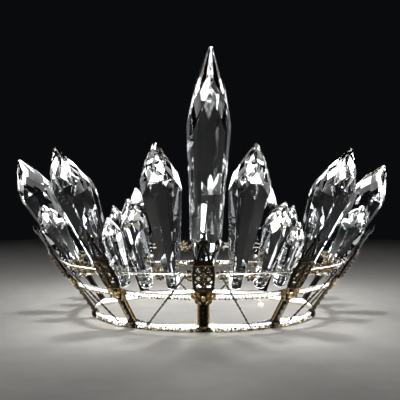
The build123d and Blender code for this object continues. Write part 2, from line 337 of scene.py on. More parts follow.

# %% [markdown]
# ## Antiqued brass, with painted shade and painted highlights
# The castings are brass with a dark patina in their hollows, worn bright on the crests. Over that,
# the colour is painted nearly black as shade, and the crests are painted olive and gold as
# highlights. The mesh stores how far each point stands out, as the attribute `relief`, and the
# colour reads it, as a polishing cloth would. The stain's blots are about 1.4 mm. The pits that
# casting sand leaves are finer than would show, so they are drawn at 0.4 mm.

# %% Antiqued casting, with painted shade and painted highlights
def casting_patina_and_painted_light():
    """Patina and painted shade where relief plus stain is low; smoother, painted pale gold
    highlight where high.
    """
    material, spot = new_material("brass_patina_with_painted_shade_and_highlight")
    relief = add(material, "ShaderNodeAttribute", settings={"attribute_name": "relief"})
    stain = add(material, NOISE, values={"Scale": per_metre(1.4286), "Detail": 3.0},
                links={"Vector": spot})
    drift = add(material, RANGE, values={"To Min": -0.28, "To Max": 0.28},
                links={"Value": stain.outputs["Fac"]})
    patina_shade_and_highlight = add(material, "ShaderNodeMath", settings={"operation": "ADD", "use_clamp": True},
                 links={0: relief.outputs["Fac"], 1: drift.outputs["Result"]}).outputs["Value"]
    # The ramp's dark end is patina plus painted shade, and its pale gold end is a painted
    # highlight.
    tint = add(material, RAMP, links={"Fac": patina_shade_and_highlight},
               stops=[(0.25, "#0A0805"), (0.48, "#2A1F12"), (0.66, "#6E5833"), (0.88, "#D6C7A0")])
    rough = add(material, RANGE, values={"To Min": 0.5, "To Max": 0.26}, links={"Value": patina_shade_and_highlight})
    sand = add(material, NOISE, values={"Scale": per_metre(0.38462), "Detail": 3.0},
               links={"Vector": spot})
    pits = add(material, BUMP, values={"Strength": 0.35, "Distance": 0.0002},
               links={"Height": sand.outputs["Fac"]})
    shader = add(material, SHADER, values={"Metallic": 1.0},
                 links={"Base Color": tint.outputs["Color"], "Roughness": rough.outputs["Result"],
                        "Normal": pits.outputs["Normal"]})
    add(material, OUTPUT, links={"Surface": shader.outputs["BSDF"]})
    return material


CASTING = casting_patina_and_painted_light()
print("metal:", CASTING.name)

# %% [markdown]
# ## Plated, gilt and drawn metal
# The other metals differ in colour, polish and the size of their blemishes, not in kind, so one
# function makes them all. Plating is bright with 2 mm clouds. The gilt grains are tarnished each
# in its own way, so their blots are as large as a seed bead, 1.6 mm. Drawn wire is satin, with
# marks of about a millimetre, coarser than a die leaves, because finer ones would not show.

# %% Plated and drawn metals
def plated_metal(name, tints, rough_low, rough_high, speck, depth):
    """A metal whose colour and roughness drift together, with a bump of the same grain."""
    material, spot = new_material(name)
    cloud = add(material, NOISE, values={"Scale": per_metre(speck), "Detail": 3.0},
                links={"Vector": spot}).outputs["Fac"]
    tint = add(material, RAMP, links={"Fac": cloud}, stops=tints)
    rough = add(material, RANGE, values={"To Min": rough_low, "To Max": rough_high},
                links={"Value": cloud})
    marks = add(material, BUMP, values={"Strength": 0.3, "Distance": depth},
                links={"Height": cloud})
    shader = add(material, SHADER, values={"Metallic": 1.0},
                 links={"Base Color": tint.outputs["Color"], "Roughness": rough.outputs["Result"],
                        "Normal": marks.outputs["Normal"]})
    add(material, OUTPUT, links={"Surface": shader.outputs["BSDF"]})
    return material


STRIP = plated_metal("silver_plated_strip", [(0.35, "#C9C5BA"), (0.65, "#EFEDE6")],
                     0.28, 0.14, speck=2.0, depth=0.0001)
GRAIN = plated_metal("gilt_seed_granules",
                     [(0.40, "#0D0905"), (0.54, "#4A3A21"), (0.70, "#D8CDB2")],
                     0.5, 0.22, speck=1.6129, depth=0.0001)
WIRE = plated_metal("drawn_silver_wire", [(0.35, "#B4B0A6"), (0.65, "#E2DFD7")],
                    0.32, 0.18, speck=1.25, depth=0.00005)
# The braces' wire colour is painted shade: near black, with faint grey clouds.
WIRE_IN_PAINTED_SHADE = plated_metal("wire_painted_near_black_as_shade", [(0.35, "#141211"), (0.65, "#4A463F")],
                         0.42, 0.28, speck=1.1111, depth=0.00005)
print("metals:", ", ".join(m.name for m in (STRIP, GRAIN, WIRE, WIRE_IN_PAINTED_SHADE)))

# %% [markdown]
# ## Rhinestones
# Cut glass over silver foil sends light back in every direction, so a stone looks white from
# afar. A white body under a hard clear coat does that, with part of the foil's mirror left in.
# Neighbouring stones differ a little in whiteness, so the clouds are 2.2 mm, about as wide as a
# stone.

# %% Foil-backed stones
def rhinestone():
    """A pale, half-metallic body under a clear coat."""
    material, spot = new_material("foil_backed_rhinestone")
    cloud = add(material, NOISE, values={"Scale": per_metre(2.2222), "Detail": 3.0},
                links={"Vector": spot})
    tint = add(material, RAMP, links={"Fac": cloud.outputs["Fac"]},
               stops=[(0.3, "#E6EAF0"), (0.6, "#FFFFFF")])
    shader = add(material, SHADER,
                 values={"Metallic": 0.35, "Roughness": 0.12,
                         "Coat Weight": 0.6, "Coat Roughness": 0.03},
                 links={"Base Color": tint.outputs["Color"]})
    add(material, OUTPUT, links={"Surface": shader.outputs["BSDF"]})
    return material


STONE = rhinestone()
print("stones:", STONE.name)

# %% [markdown]
# ## The prisms
# A lamp prism has eight long flutes. Above its shoulder each ridge gives way to a kite-shaped
# facet, and eight tip facets close it. Cut facets are flat planes, so the corners can't be put
# just anywhere: each zigzag corner is where two straight lines of the profile cross.

# %% Corners of a prism
SIDES = 8
TURN = math.pi / SIDES              # from a ridge to the middle of a flute
HALF = math.cos(TURN)               # a flute's middle is this share of the ridge's radius
# Heights and radii of the rounded foot, and of the waist that only the tall spire has.
FOOT = [(0.0, 2.0), (0.5, 3.0), (1.5, 3.8), (4.0, 4.3), (8.6, 4.7), (14.0, 5.2)]
SPIRE_WAIST, SPIRE_LENGTH = [(30.0, 8.9), (62.0, 10.0)], 120.0
SHOULDER, KITE_START, TIP_START = 0.70, 0.705, 0.79     # shares of the length
BODY_FALL, KITE_FALL = 0.6, 2.3     # how fast the radius falls, in shoulder radii per length
TIP_FLAT = 0.085                    # of the shoulder's radius


def crossing(first, second):
    """Where two straight lines, each (height 0 value, slope), have the same value."""
    return (second[0] - first[0]) / (first[1] - second[1])


def prism_grid(length, shoulder):
    """Points of a straight prism: 16 columns, on the ridges and on the middles of the flutes.

    body, kite and tip are lines of radius against height. Their crossings give the zigzags:
    a kite starts on a ridge, and its side corners lie on the middles of the flutes.
    """
    body = (shoulder * (1 + BODY_FALL * SHOULDER), -BODY_FALL * shoulder / length)
    at_kite = body[0] + body[1] * KITE_START * length
    kite_slope = -KITE_FALL * shoulder / length
    kite = (at_kite - kite_slope * KITE_START * length, kite_slope)
    at_tip = (kite[0] + kite[1] * TIP_START * length) / HALF
    flat = TIP_FLAT * shoulder
    tip_slope = (flat - at_tip) / ((1 - TIP_START) * length)
    tip = (flat - tip_slope * length, tip_slope)
    kite_side = crossing([HALF**2 * v for v in body], kite)
    kite_top = crossing([HALF * v for v in kite], tip)
    rows = [(s, r, s, r * HALF) for s, r in FOOT]
    if length > SPIRE_LENGTH:
        rows += [(s, r, s, r * HALF) for s, r in SPIRE_WAIST]
    rows.append((SHOULDER * length, shoulder, SHOULDER * length, shoulder * HALF))
    rows.append((KITE_START * length, at_kite, kite_side, (kite[0] + kite[1] * kite_side) / HALF))
    rows.append((kite_top, kite[0] + kite[1] * kite_top, TIP_START * length, at_tip))
    rows.append((length, flat / HALF, length, flat))
    table = np.array(rows)
    height = np.tile(table[:, [0, 2]], (1, SIDES))
    radius = np.tile(table[:, [1, 3]], (1, SIDES))
    angle = np.arange(2 * SIDES) * TURN
    return np.stack([radius * np.cos(angle), radius * np.sin(angle), height], -1)


print("rows and columns of a prism:", prism_grid(95.0, 11.0).shape[:2])

# %% [markdown]
# ### Where a prism stands
# Its skin is even all round, so the direction in which that skin is spread furthest is its axis.
# The point furthest from the axis lies on a ridge at the shoulder, and gives the shoulder's
# radius and the way the ridges face. The hole through the foot is drilled along the stringing
# wire's own curve, and a Bevel modifier grinds every edge.

# %% Place and build each prism
HOLE_RADIUS = 0.75
GROUND_EDGE = 0.22                  # width of the fine bevel that polishing leaves on an edge
EDGE_ANGLE = math.radians(12)       # a turn sharper than this is an edge
DRILL_REACH = math.radians(5)       # the drill's run to each side, round the crown


def prism_pose(node):
    """Foot, three axes, length and shoulder radius of a CAD prism.

    The axis is the direction in which the skin's area is spread furthest about its centroid.
    """
    points = cad_points(node)
    corners = points[cad_triangles(node)]
    edges = corners[:, 1:] - corners[:, :1]
    area = np.linalg.norm(np.cross(edges[:, 0], edges[:, 1]), axis=1)
    middle = corners.mean(axis=1)
    centre = np.average(middle, axis=0, weights=area)
    axis = np.linalg.eigh(np.cov((middle - centre).T, aweights=area))[1][:, 2]
    axis *= np.sign(axis[2])
    along = (points - centre) @ axis
    away = points - centre - along[:, None] * axis
    distance = np.linalg.norm(away, axis=1)
    ridge = away[distance.argmax()] / distance.max()
    length = along.max() - along.min()
    return centre + along.min() * axis, ridge, np.cross(axis, ridge), axis, length, distance.max()


def drilled(piece, cutter):
    """Applies a cross hole and the ground edges, and leaves a plain mesh."""
    hole = piece.modifiers.new("hole", "BOOLEAN")
    hole.operation = "DIFFERENCE"
    hole.solver = "EXACT"
    hole.object = cutter
    edge = piece.modifiers.new("ground_edges", "BEVEL")
    edge.width = GROUND_EDGE * MM
    edge.segments = 2
    edge.limit_method = "ANGLE"
    edge.angle_limit = EDGE_ANGLE
    bpy.context.view_layer.update()
    evaluated = piece.evaluated_get(bpy.context.evaluated_depsgraph_get())
    done = bpy.data.meshes.new_from_object(evaluated)
    piece.modifiers.clear()
    piece.data = done
    bpy.data.objects.remove(cutter)


for node in PRISMS:
    foot, ridge, across, axis, length, shoulder = prism_pose(node)
    grid = prism_grid(length, shoulder) @ np.stack([ridge, across, axis]) + foot
    prism = make_object("cut_" + node, skin(grid), CRYSTAL, smooth_below=0)
    azimuth = math.atan2(foot[0], -foot[1])
    bearing = azimuth + np.linspace(-DRILL_REACH, DRILL_REACH, 9)
    wire_line = around(bearing)[0] * STRINGING[0] + np.array([0, 0, STRINGING[1]])
    cutter = make_object("drill", tube(wire_line, HOLE_RADIUS, 16), CRYSTAL)
    drilled(prism, cutter)
    settle(prism, "crown", "cut_glass", node)
print("prisms cut:", len(PRISMS))

# %% [markdown]
# ## The two bands
# Each band is a silver-plated strip. Small foil-backed stones are glued on in rows, and a line of
# tiny gilt grains hides its lower edge. Where a rib crosses, solder has run into the corner and
# leaves a soft fillet, so the strip's free edge rises a little beside every rib.

# %% Strips with soldered corners
FILLET_HEIGHT, FILLET_REACH = 1.5, 8.0      # the soldered corner's rise, and its reach along
CORNER = 0.15                               # rounding of the strip's corners
LOWER_SHARE = 0.4                           # the lower edge draws back by this share of it
ROUND = np.linspace(0, 2 * math.pi, 720, endpoint=False)


def fillet(azimuth, radius):
    """Rise of a soldered corner: a smooth bump that fades with distance from the nearest rib."""
    from_rib = (azimuth + RIB_PITCH / 2) % RIB_PITCH - RIB_PITCH / 2
    return FILLET_HEIGHT * np.exp(-(np.abs(from_rib) * radius / FILLET_REACH) ** 1.6)


def strip_point(size, azimuth, share, depth, rise=0.0):
    """A point of a band: share 0..1 goes up its outer face, and depth goes inwards."""
    low, high, bottom, top, _ = size
    outward, _ = around(azimuth)
    radius = bottom + (top - bottom) * share - depth
    height = low + (high - low) * share + rise
    zero = 0 * azimuth
    return outward * np.asarray(radius)[..., None] + np.stack([zero, zero, height + zero], -1)


def strip_shape(size, down):
    """A closed ring whose section is a rounded strip.

    The frame's height is the height beside a rib. Between ribs the upper edge draws back from it
    by the fillet's height, and where down is 1 the lower edge does too, by a smaller share.
    """
    wall = size[4]
    section = [(0.0, CORNER), (0.08, 0.0), (0.92, 0.0), (1.0, CORNER), (1.0, wall - CORNER),
               (0.92, wall), (0.08, wall), (0.0, wall - CORNER)]
    rise = fillet(ROUND, size[2]) - FILLET_HEIGHT
    rows = []
    for share, depth in section:
        lift = rise * (share > 0.5) - LOWER_SHARE * rise * down * (share < 0.5)
        rows.append(strip_point(size, ROUND, share, depth, lift))
    return skin(np.stack(rows, axis=1)[:, ::-1], closed=True)


def upright_frames(azimuth):
    """A rotation for each azimuth: x sideways, y up, z outwards."""
    outward, sideways = around(azimuth)
    up = np.broadcast_to([0.0, 0.0, 1.0], outward.shape)
    return np.stack([sideways, up, outward], axis=-1)


for name, size, down in (("base", BASE, 0), ("middle", MIDDLE, 1)):
    strip = make_object(name + "_strip", strip_shape(size, down), STRIP)
    settle(strip, "crown", "silver_band", name + "_band")
print("strips: base and middle")

# %% [markdown]
# ### Stones and grains
# The stones are flat-backed roses: a small table and eight sloping facets over a thin girdle.
# There are about a thousand, so each has only 18 faces. The grains are nearly round, of mixed
# sizes, and not quite in line.

# %% Stones and grains on the bands
STONE_RADIUS, STONE_HEIGHT, STONE_PITCH = 0.95, 0.6, 2.0
GRAIN_RADIUS, GRAIN_PITCH, GRAIN_SCATTER = 0.55, 0.30, 0.7
STONE_ROWS = ((0.24, 0.0), (0.56, 0.5))     # share of the band's height, and shift in pitches


def rose_stone():
    """Rings at the back, the girdle and the table, each an octagon."""
    angle = np.linspace(0, 2 * math.pi, 8, endpoint=False)
    ring = np.stack([np.cos(angle), np.sin(angle), 0 * angle], -1)
    levels = [(1.0, 0.0), (1.0, 0.25), (0.5, 1.0)]
    scale = np.array([STONE_RADIUS, STONE_RADIUS, 1.0])
    grid = np.stack([ring * r * scale + [0, 0, z * STONE_HEIGHT] for r, z in levels])
    return skin(grid)


def band_stones(size):
    """Two rows of stones, half a pitch apart, with each stone turned and tipped a little."""
    copies = []
    for share, shift in STONE_ROWS:
        count = int(2 * math.pi * size[2] / STONE_PITCH)
        azimuth = (np.arange(count) + shift) * 2 * math.pi / count
        tip_by = rng.normal(0, 0.10, (count, 3))
        matrices = upright_frames(azimuth) @ np.array(
            [Euler((a, b, 8 * c)).to_matrix() for a, b, c in tip_by])
        copies.append(repeated(rose_stone(), matrices, strip_point(size, azimuth, share, -0.02)))
    return joined(copies)


def edge_grains(size, down):
    """Grains scattered along a band's lower edge: most at the edge itself, and a few above it."""
    count = int(2 * math.pi * size[2] / GRAIN_PITCH)
    azimuth = np.linspace(0, 2 * math.pi, count, endpoint=False) + rng.normal(0, 0.004, count)
    radius = GRAIN_RADIUS * rng.uniform(0.6, 1.25, count)
    rise = radius + np.abs(rng.normal(0, GRAIN_SCATTER, count))
    rise -= down * (0.3 + 0.8 * rng.random(count))
    places = strip_point(size, azimuth, 0.0, -0.1 - rng.uniform(0, 0.9, count), rise)
    return repeated(GRANULE, radius[:, None, None] * np.eye(3), places)


for name, size, down in (("base", BASE, 0), ("middle", MIDDLE, 1)):
    stones = make_object(name + "_stones", band_stones(size), STONE, smooth_below=0)
    settle(stones, "crown", "silver_band")
    grains = make_object(name + "_edge_grains", edge_grains(size, down), GRAIN)
    settle(grains, "crown", "bronze_beads")
    print(name, "band: faces", len(stones.data.polygons), len(grains.data.polygons))

# %% [markdown]
# ## The cast ribs
# A founder builds such a rib from a few habits: rods that curl into scrolls, beads in a row, and
# leaves that swell and taper. Each habit is one function, drawn flat: x across the rib, y up its
# slope, z out of the face. One turn of the frame then lays the finished rib on the crown.

# %% Scrolls, bead rows and leaves
def scroll(centre, start, turns, radius_from, radius_to, thick, height, hand=1):
    """A curl: the distance from its centre shrinks evenly while it turns, and it thins out."""
    t = np.linspace(0, 1, 26)
    angle = start + hand * 2 * math.pi * turns * t
    radius = radius_from + (radius_to - radius_from) * t
    path = np.stack([centre[0] + radius * np.cos(angle), centre[1] + radius * np.sin(angle),
                     height + 0.5 * t], -1)
    return joined([tube(path, thick * (1 - 0.45 * t), 8), ball(path[-1], 1.15 * thick)])


def bead_row(first, last, count, radius):
    """Beads from one point to another."""
    return joined([ball(place, radius, 5, 8) for place in np.linspace(first, last, count)])


def leaf(start, end, width, height, bend=0.0):
    """A pointed blade: a strap that swells as the sine of its length and arches sideways."""
    t = np.linspace(0.02, 0.98, 14)[:, None]
    start, end = np.array([*start, height]), np.array([*end, height])
    side = np.cross(end - start, [0, 0, 1.0])
    path = start + (end - start) * t + side * bend * np.sin(math.pi * t)
    path[:, 2] += 0.8 * np.sin(math.pi * t[:, 0])
    return tube(path, width * np.sin(math.pi * t[:, 0]) ** 0.8 + 0.08, 8, flat=0.55)


def loop(centre, half_width, half_height, thick, height):
    """A closed oval of rod."""
    t = np.linspace(0, 2 * math.pi, 28, endpoint=False)
    path = np.stack([centre[0] + half_width * np.cos(t), centre[1] + half_height * np.sin(t),
                     height + 0 * t], -1)
    return tube(path, thick, 8, closed=True)


def arch(foot, top, half_width, thick, height):
    """A pointed arch of rod: each leg runs from the foot to the top, and bellies out a little."""
    t = np.linspace(0, 1, 14)
    leg = np.stack([half_width * (1 - t**1.6) + 0.25, foot + (top - foot) * t, height + 0 * t], -1)
    return both_sides(tube(leg, thick, 8))


def both_sides(shape):
    """A shape and its mirror image in x, with the image's faces turned back outwards."""
    points, faces = shape
    return joined([shape, (points * [-1, 1, 1], [face[:, ::-1] for face in faces])])


print("a curl has", len(scroll((0, 0), 0, 1, 3, 1, 0.6, 0)[0]), "points")

# %% [markdown]
# ### The stem
# A rib follows the CAD outline from its foot up. The stem is a dark rounded bar with studs, on a
# flat back strip. Two beaded strips are soldered along its sides. A polishing cloth reaches those
# first, so they are kept apart from the bar, to be brightened by wear and a painted highlight.

# %% Draw the stem
STEM_TOP, LEAF_AT, CARTOUCHE_AT = 29.0, 21.5, 38.2      # places up the slope
COLLAR_AT, LOOP_AT, TREFOIL_AT = 49.4, 56.0, 64.2


def rib_stem():
    """A dark rounded bar on a flat back strip, with small studs along its middle."""
    core = np.array([[0, y, 1.0] for y in np.linspace(-0.6, STEM_TOP, 12)])
    back = np.array([[0, y, 0.45] for y in np.linspace(-0.3, STEM_TOP, 12)])
    studs = bead_row((0, 1.6, 2.0), (0, STEM_TOP - 2, 2.2), 7, 0.75)
    return joined([tube(core, 2.25, 12, flat=0.5), tube(back, 3.6, 8, flat=0.12), studs])


def stem_strips():
    """The beaded strips that are soldered along both sides of the stem and catch the light."""
    beads = bead_row((3.05, 0.2, 1.2), (3.05, STEM_TOP - 1, 1.2), 27, 0.62)
    wire = np.array([[2.45, y, 1.35] for y in np.linspace(-0.2, STEM_TOP - 0.5, 12)])
    return both_sides(joined([beads, tube(wire, 0.34, 6)]))


STEM, STEM_STRIPS = rib_stem(), stem_strips()
print("stem:", len(STEM[0]), "points; its strips:", len(STEM_STRIPS[0]))

# %% [markdown]
# ### The leaves
# Scroll leaves hide the joint where the middle band crosses. On each side two curls and three
# blades fan out, drawn once and mirrored, and an oval boss covers the middle.

# %% Draw the leaves
def rib_leaves():
    """Two curls and three blades a side, each from the two habits above, and an ellipsoid."""
    upper = scroll((4.5, LEAF_AT + 1.3), math.pi, 1.35, 2.9, 0.8, 0.75, 1.0, hand=-1)
    lower = scroll((2.9, LEAF_AT - 3.4), math.pi / 2, 1.1, 2.0, 0.6, 0.6, 1.0, hand=-1)
    blades = [leaf((0.8, LEAF_AT - 3), (7.0, LEAF_AT + 4.6), 0.9, 1.3, 0.12),
              leaf((0.8, LEAF_AT), (4.2, LEAF_AT + 7.4), 0.8, 1.6, 0.10),
              leaf((0.6, LEAF_AT - 6), (5.2, LEAF_AT - 1.5), 0.7, 1.2, -0.10)]
    boss = ball((0, LEAF_AT, 2.0), (1.7, 2.6, 1.3))
    return joined([both_sides(joined([upper, lower, *blades])), boss])


LEAVES = rib_leaves()
print("leaves:", len(LEAVES[0]), "points")

# %% [markdown]
# ### The cartouche
# The cartouche is a pierced oval panel: side rails, cross bars, rings you can see through, and a
# rosette. It is domed, so its parts are drawn flat and then bent over a cylinder: each point moves
# out by the dome's height times the root of one minus the square of its share of the half width.

# %% Draw the cartouche
CARTOUCHE_HALF_WIDTH, CARTOUCHE_HALF_HEIGHT = 5.9, 9.6
DOME, DOME_HALF_WIDTH = 2.3, 7.4


def rib_cartouche():
    """Side rails, cross bars, six rings and a rosette, bent back over a cylinder."""
    t = np.linspace(-1, 1, 18)
    rail = np.stack([CARTOUCHE_HALF_WIDTH * (1 - 0.16 * t**2),
                     CARTOUCHE_AT + CARTOUCHE_HALF_HEIGHT * t, 0 * t], -1)
    parts = [both_sides(tube(rail, 0.85, 8))]
    for step in (-1, 0, 1):
        middle = CARTOUCHE_AT + 6.1 * step
        parts.append(both_sides(loop((2.85, middle), 2.05, 2.35, 0.62, 0.0)))
        parts.append(both_sides(ball((2.85, middle + 3.05, 0.2), 0.95, 6, 8)))
    for end in (-1, 1):
        arc = CARTOUCHE_HALF_HEIGHT + 0.5 - 0.8 * t**2
        bar = np.stack([5.0 * t, CARTOUCHE_AT + end * arc, 0 * t], -1)
        parts.append(tube(bar, 0.85, 8))
    spine = np.stack([0 * t, CARTOUCHE_AT + CARTOUCHE_HALF_HEIGHT * t, 0 * t], -1)
    parts.append(tube(spine, 0.75, 8))
    parts.append(bead_row((0, CARTOUCHE_AT - 8, 0.7), (0, CARTOUCHE_AT + 8, 0.7), 7, 0.9))
    angle = np.arange(6) * math.pi / 3
    petals = np.stack([1.7 * np.cos(angle), CARTOUCHE_AT + 1.9 * np.sin(angle),
                       0.4 + 0 * angle], -1)
    parts += [ball(petal, 0.75, 5, 8) for petal in petals]
    border = bead_row((6.0, CARTOUCHE_AT - 8, 0.2), (6.0, CARTOUCHE_AT + 8, 0.2), 8, 0.62)
    parts.append(both_sides(border))
    points, faces = joined(parts)
    bend = 1 - np.clip(np.abs(points[:, 0]) / DOME_HALF_WIDTH, 0, 1) ** 2
    points[:, 2] += 0.9 + DOME * np.sqrt(bend)
    return points, faces


CARTOUCHE = rib_cartouche()
print("cartouche:", len(CARTOUCHE[0]), "points")

# %% [markdown]
# ### The finial
# Above the cartouche come a collar of two rods with beads between, a pointed open loop, a trefoil
# of three balls, and a slim prong with a bud on each side. All are rods, balls and leaves again.

# %% Draw the finial
PRONG_LENGTH, PRONG_SPREAD = 14.0, math.radians(11)


def rib_finial():
    """Collar, spikes, loop and trefoil on the middle line, and one prong mirrored to the other."""
    t = np.linspace(-1, 1, 12)
    collar = [tube(np.stack([5.5 * t, COLLAR_AT - 0.9 + 0 * t, 1.6 + 0 * t], -1), 0.75, 8),
              tube(np.stack([5.2 * t, COLLAR_AT + 0.8 + 0 * t, 1.6 + 0 * t], -1), 0.6, 8),
              bead_row((-5, COLLAR_AT, 2.3), (5, COLLAR_AT, 2.3), 8, 0.66)]
    spikes = [leaf((x, COLLAR_AT + 0.6), (1.12 * x, COLLAR_AT + 4.2), 0.7, 1.4)
              for x in (-4.4, 4.4)]
    opening = arch(LOOP_AT - 6.4, LOOP_AT + 6.6, 2.9, 0.85, 1.2)
    balls = [ball((0, TREFOIL_AT + 1.95, 1.3), 1.5),
             ball((0, TREFOIL_AT + 3.8, 1.3), (0.6, 0.9, 0.6)),
             both_sides(ball((1.4, TREFOIL_AT - 0.6, 1.3), 1.5))]
    direction = np.array([math.sin(PRONG_SPREAD), math.cos(PRONG_SPREAD)])
    root = np.array([4.9, COLLAR_AT])
    s = np.linspace(0, PRONG_LENGTH, 12)
    path = np.stack([root[0] + s * direction[0] - 0.35 * np.sin(math.pi * s / PRONG_LENGTH),
                     root[1] + s * direction[1], 1.2 + 0 * s], -1)
    bud = root + (PRONG_LENGTH + 0.8) * direction
    knot = root + 0.55 * PRONG_LENGTH * direction
    prong = [tube(path, 0.62 - 0.012 * s, 8),
             leaf(bud - 2.4 * direction, bud + 2.0 * direction, 1.15, 0.9),
             leaf(knot, knot + [2.2, 2.6], 0.6, 0.9), ball((*knot, 1.2), 0.85, 5, 8)]
    return joined([*collar, *spikes, opening, *balls, both_sides(joined(prong))])


FINIAL = rib_finial()
print("finial:", len(FINIAL[0]), "points")

# %% [markdown]
# ### The foot
# The foot lies flat on the base band, upright, while the rest leans out. So it is a shape of its
# own: a plate, a shell of three leaves and two curls.

# %% Draw the foot, and put the rib together
def rib_foot():
    """A flat tube for the plate, three blades that fan from one point, and two curls."""
    middle_line = np.array([[0, y, 0.6] for y in (0.25, 1.5, 3.2, 5.2)])
    plate = tube(middle_line, [2.2, 2.8, 2.8, 2.4], 10, flat=0.3)
    shell = [leaf((0, 0.3), (x, 5.6), 0.9, 1.2) for x in (-2.4, 0, 2.4)]
    curls = both_sides(scroll((3.0, 1.75), math.pi / 2, 1.0, 1.3, 0.5, 0.45, 0.8, hand=-1))
    return joined([plate, *shell, curls])


# The first group's colour is patina and painted shade; the second gets extra wear and painted
# highlight.
PATINA_AND_SHADE_PARTS = joined([STEM, CARTOUCHE, FINIAL])
WORN_AND_HIGHLIGHTED_PARTS = joined([STEM_STRIPS, LEAVES])
SLOPE_PART = joined([PATINA_AND_SHADE_PARTS, WORN_AND_HIGHLIGHTED_PARTS])
FOOT_PART = rib_foot()
print("one rib has", len(SLOPE_PART[0]) + len(FOOT_PART[0]), "points")

# %% [markdown]
# ### Laying the ribs on the crown
# A rib's slope starts at the top of the base band and leans out by the frame's flare. The height
# out of the face becomes the `relief` that the patina, painted shade and painted highlights read,
# and the worn parts get a head start of wear and painted highlight.

# %% Lay the ribs on the crown
# The bonus lifts the beaded strips and leaves towards the pale gold end: wear plus painted
# highlight.
RELIEF_DEPTH, FOOT_RELIEF_DEPTH, WEAR_AND_HIGHLIGHT_BONUS = 9.0, 6.0, 0.40


def rib_on_crown(azimuth):
    """Turns the flat drawing: x goes sideways, y up the slope, and z out along its normal."""
    outward, sideways = around(azimuth)
    up = np.array([0.0, 0.0, 1.0])
    slope = math.sin(FLARE) * outward + math.cos(FLARE) * up
    normal = math.cos(FLARE) * outward - math.sin(FLARE) * up
    leaning = SLOPE_PART[0] @ np.stack([sideways, slope, normal])
    leaning = leaning + BASE[3] * outward + BASE[1] * up
    standing = FOOT_PART[0] @ np.stack([sideways, up, outward]) + BASE[2] * outward
    return joined([(leaning, SLOPE_PART[1]), (standing, FOOT_PART[1])])


# Relief sets the casting colour: patina and painted shade where low, painted highlight where high.
RELIEF = np.clip(np.concatenate([PATINA_AND_SHADE_PARTS[0][:, 2] / RELIEF_DEPTH,
                                 WORN_AND_HIGHLIGHTED_PARTS[0][:, 2] / RELIEF_DEPTH + WEAR_AND_HIGHLIGHT_BONUS,
                                 FOOT_PART[0][:, 2] / FOOT_RELIEF_DEPTH]), 0, 1)
for number, node in enumerate(RIBS):
    rib = make_object("cast_" + node, rib_on_crown(number * RIB_PITCH), CASTING, 50.0, RELIEF)
    settle(rib, "crown", "antique_casting", node)
print("ribs:", len(RIBS), " faces each:", len(rib.data.polygons))

# %% [markdown]
# ## Braces
# Each brace is two strands of wire twisted together and pulled straight, coloured near black as
# painted shade. The twist is a helix round the brace's own centre line, which is read from the CAD
# solid: its ends, and the point in between where it bows over the middle band.

# %% Twist the braces
STRAND_RADIUS, TWIST_PITCH = 0.36, 7.0
END_SLICE, MIDDLE_SLICE = 0.8, 3.5          # heights over which a brace's points are averaged


def brace_line(node):
    """Centre line of a CAD brace: a parabola through both ends and the middle."""
    points = cad_points(node)
    height = points[:, 2]
    low, high = height.min(), height.max()
    first = points[height < low + END_SLICE].mean(axis=0)
    last = points[height > high - END_SLICE].mean(axis=0)
    middle = points[np.abs(height - (low + high) / 2) < MIDDLE_SLICE].mean(axis=0)
    return first, middle, last


def twisted(node):
    """Two strands: centre line plus a turning offset, half a turn apart."""
    low, middle, high = brace_line(node)
    t = np.linspace(0, 1, 90)[:, None]
    share = (middle - low) @ (high - low) / ((high - low) @ (high - low))
    bow = (middle - low - share * (high - low)) / (share * (1 - share))
    line = low + (high - low) * t + bow * t * (1 - t)
    run = (high - low) / np.linalg.norm(high - low)
    side = np.cross(run, [0, 0, 1.0])
    side /= np.linalg.norm(side)
    top = np.cross(side, run)
    phase = 2 * math.pi * t * np.linalg.norm(high - low) / TWIST_PITCH
    strands = []
    for start in (0, math.pi):
        offset = np.cos(phase + start) * side + np.sin(phase + start) * top
        strands.append(tube(line + 0.95 * STRAND_RADIUS * offset, STRAND_RADIUS, 8, up=top))
    return joined(strands)


for node in BRACES:
    brace = make_object("twisted_" + node, twisted(node), WIRE_IN_PAINTED_SHADE)
    settle(brace, "crown", "dark_wire", node)
print("braces:", len(BRACES))

# %% [markdown]
# ## Beads between the prisms
# Small gilt seed beads fill the wire between the prisms. They are wired on in clusters, so each
# spacer of the CAD model becomes one larger bead with some forty seed beads crowded round it.
# There are nearly two thousand of them, so each is a granule of only 20 faces.

# %% Crowd the seed beads
SEED_RADIUS, CORE_RADIUS, SEEDS = 0.8, 1.6, 42
CLUSTER_HALF_LENGTH, CLUSTER_REACH, CLUSTER_TAPER = 2.6, 3.9, 0.6


def bead_cluster(centre):
    """Seed beads at random bearings about the wire and along it, crowding towards the middle."""
    azimuth = math.atan2(centre[0], -centre[1])
    outward, sideways = around(azimuth)
    turns = rng.uniform(0, 2 * math.pi, SEEDS)[:, None]
    along = rng.uniform(-CLUSTER_HALF_LENGTH, CLUSTER_HALF_LENGTH, SEEDS)[:, None]
    reach = (CLUSTER_REACH - CLUSTER_TAPER * np.abs(along)) * rng.uniform(0.5, 1.0, (SEEDS, 1))
    places = centre + along * sideways
    places = places + reach * (np.cos(turns) * outward + np.sin(turns) * np.array([0, 0, 1.0]))
    sizes = SEED_RADIUS * rng.uniform(0.6, 1.2, SEEDS)
    seeds = repeated(GRANULE, sizes[:, None, None] * np.eye(3), places)
    return joined([seeds, ball(centre, CORE_RADIUS, 6, 10)])


crowd = joined([bead_cluster(centre) for centre in solid_centres("spacer_beads")])
clusters = make_object("seed_bead_clusters", crowd, GRAIN)
settle(clusters, "crown", "bronze_beads", "spacer_beads")
print("seed bead faces:", len(clusters.data.polygons))

# %% [markdown]
# ## Wire, rail and the hanging bead
# The rail, the stringing wire, the ties, the staple and the eye pin are plain round wire, and the
# CAD solids already have that shape, so they stay and take a drawn-silver finish. The bead is
# replaced by a softer one: a rounded square of pressed rose glass.

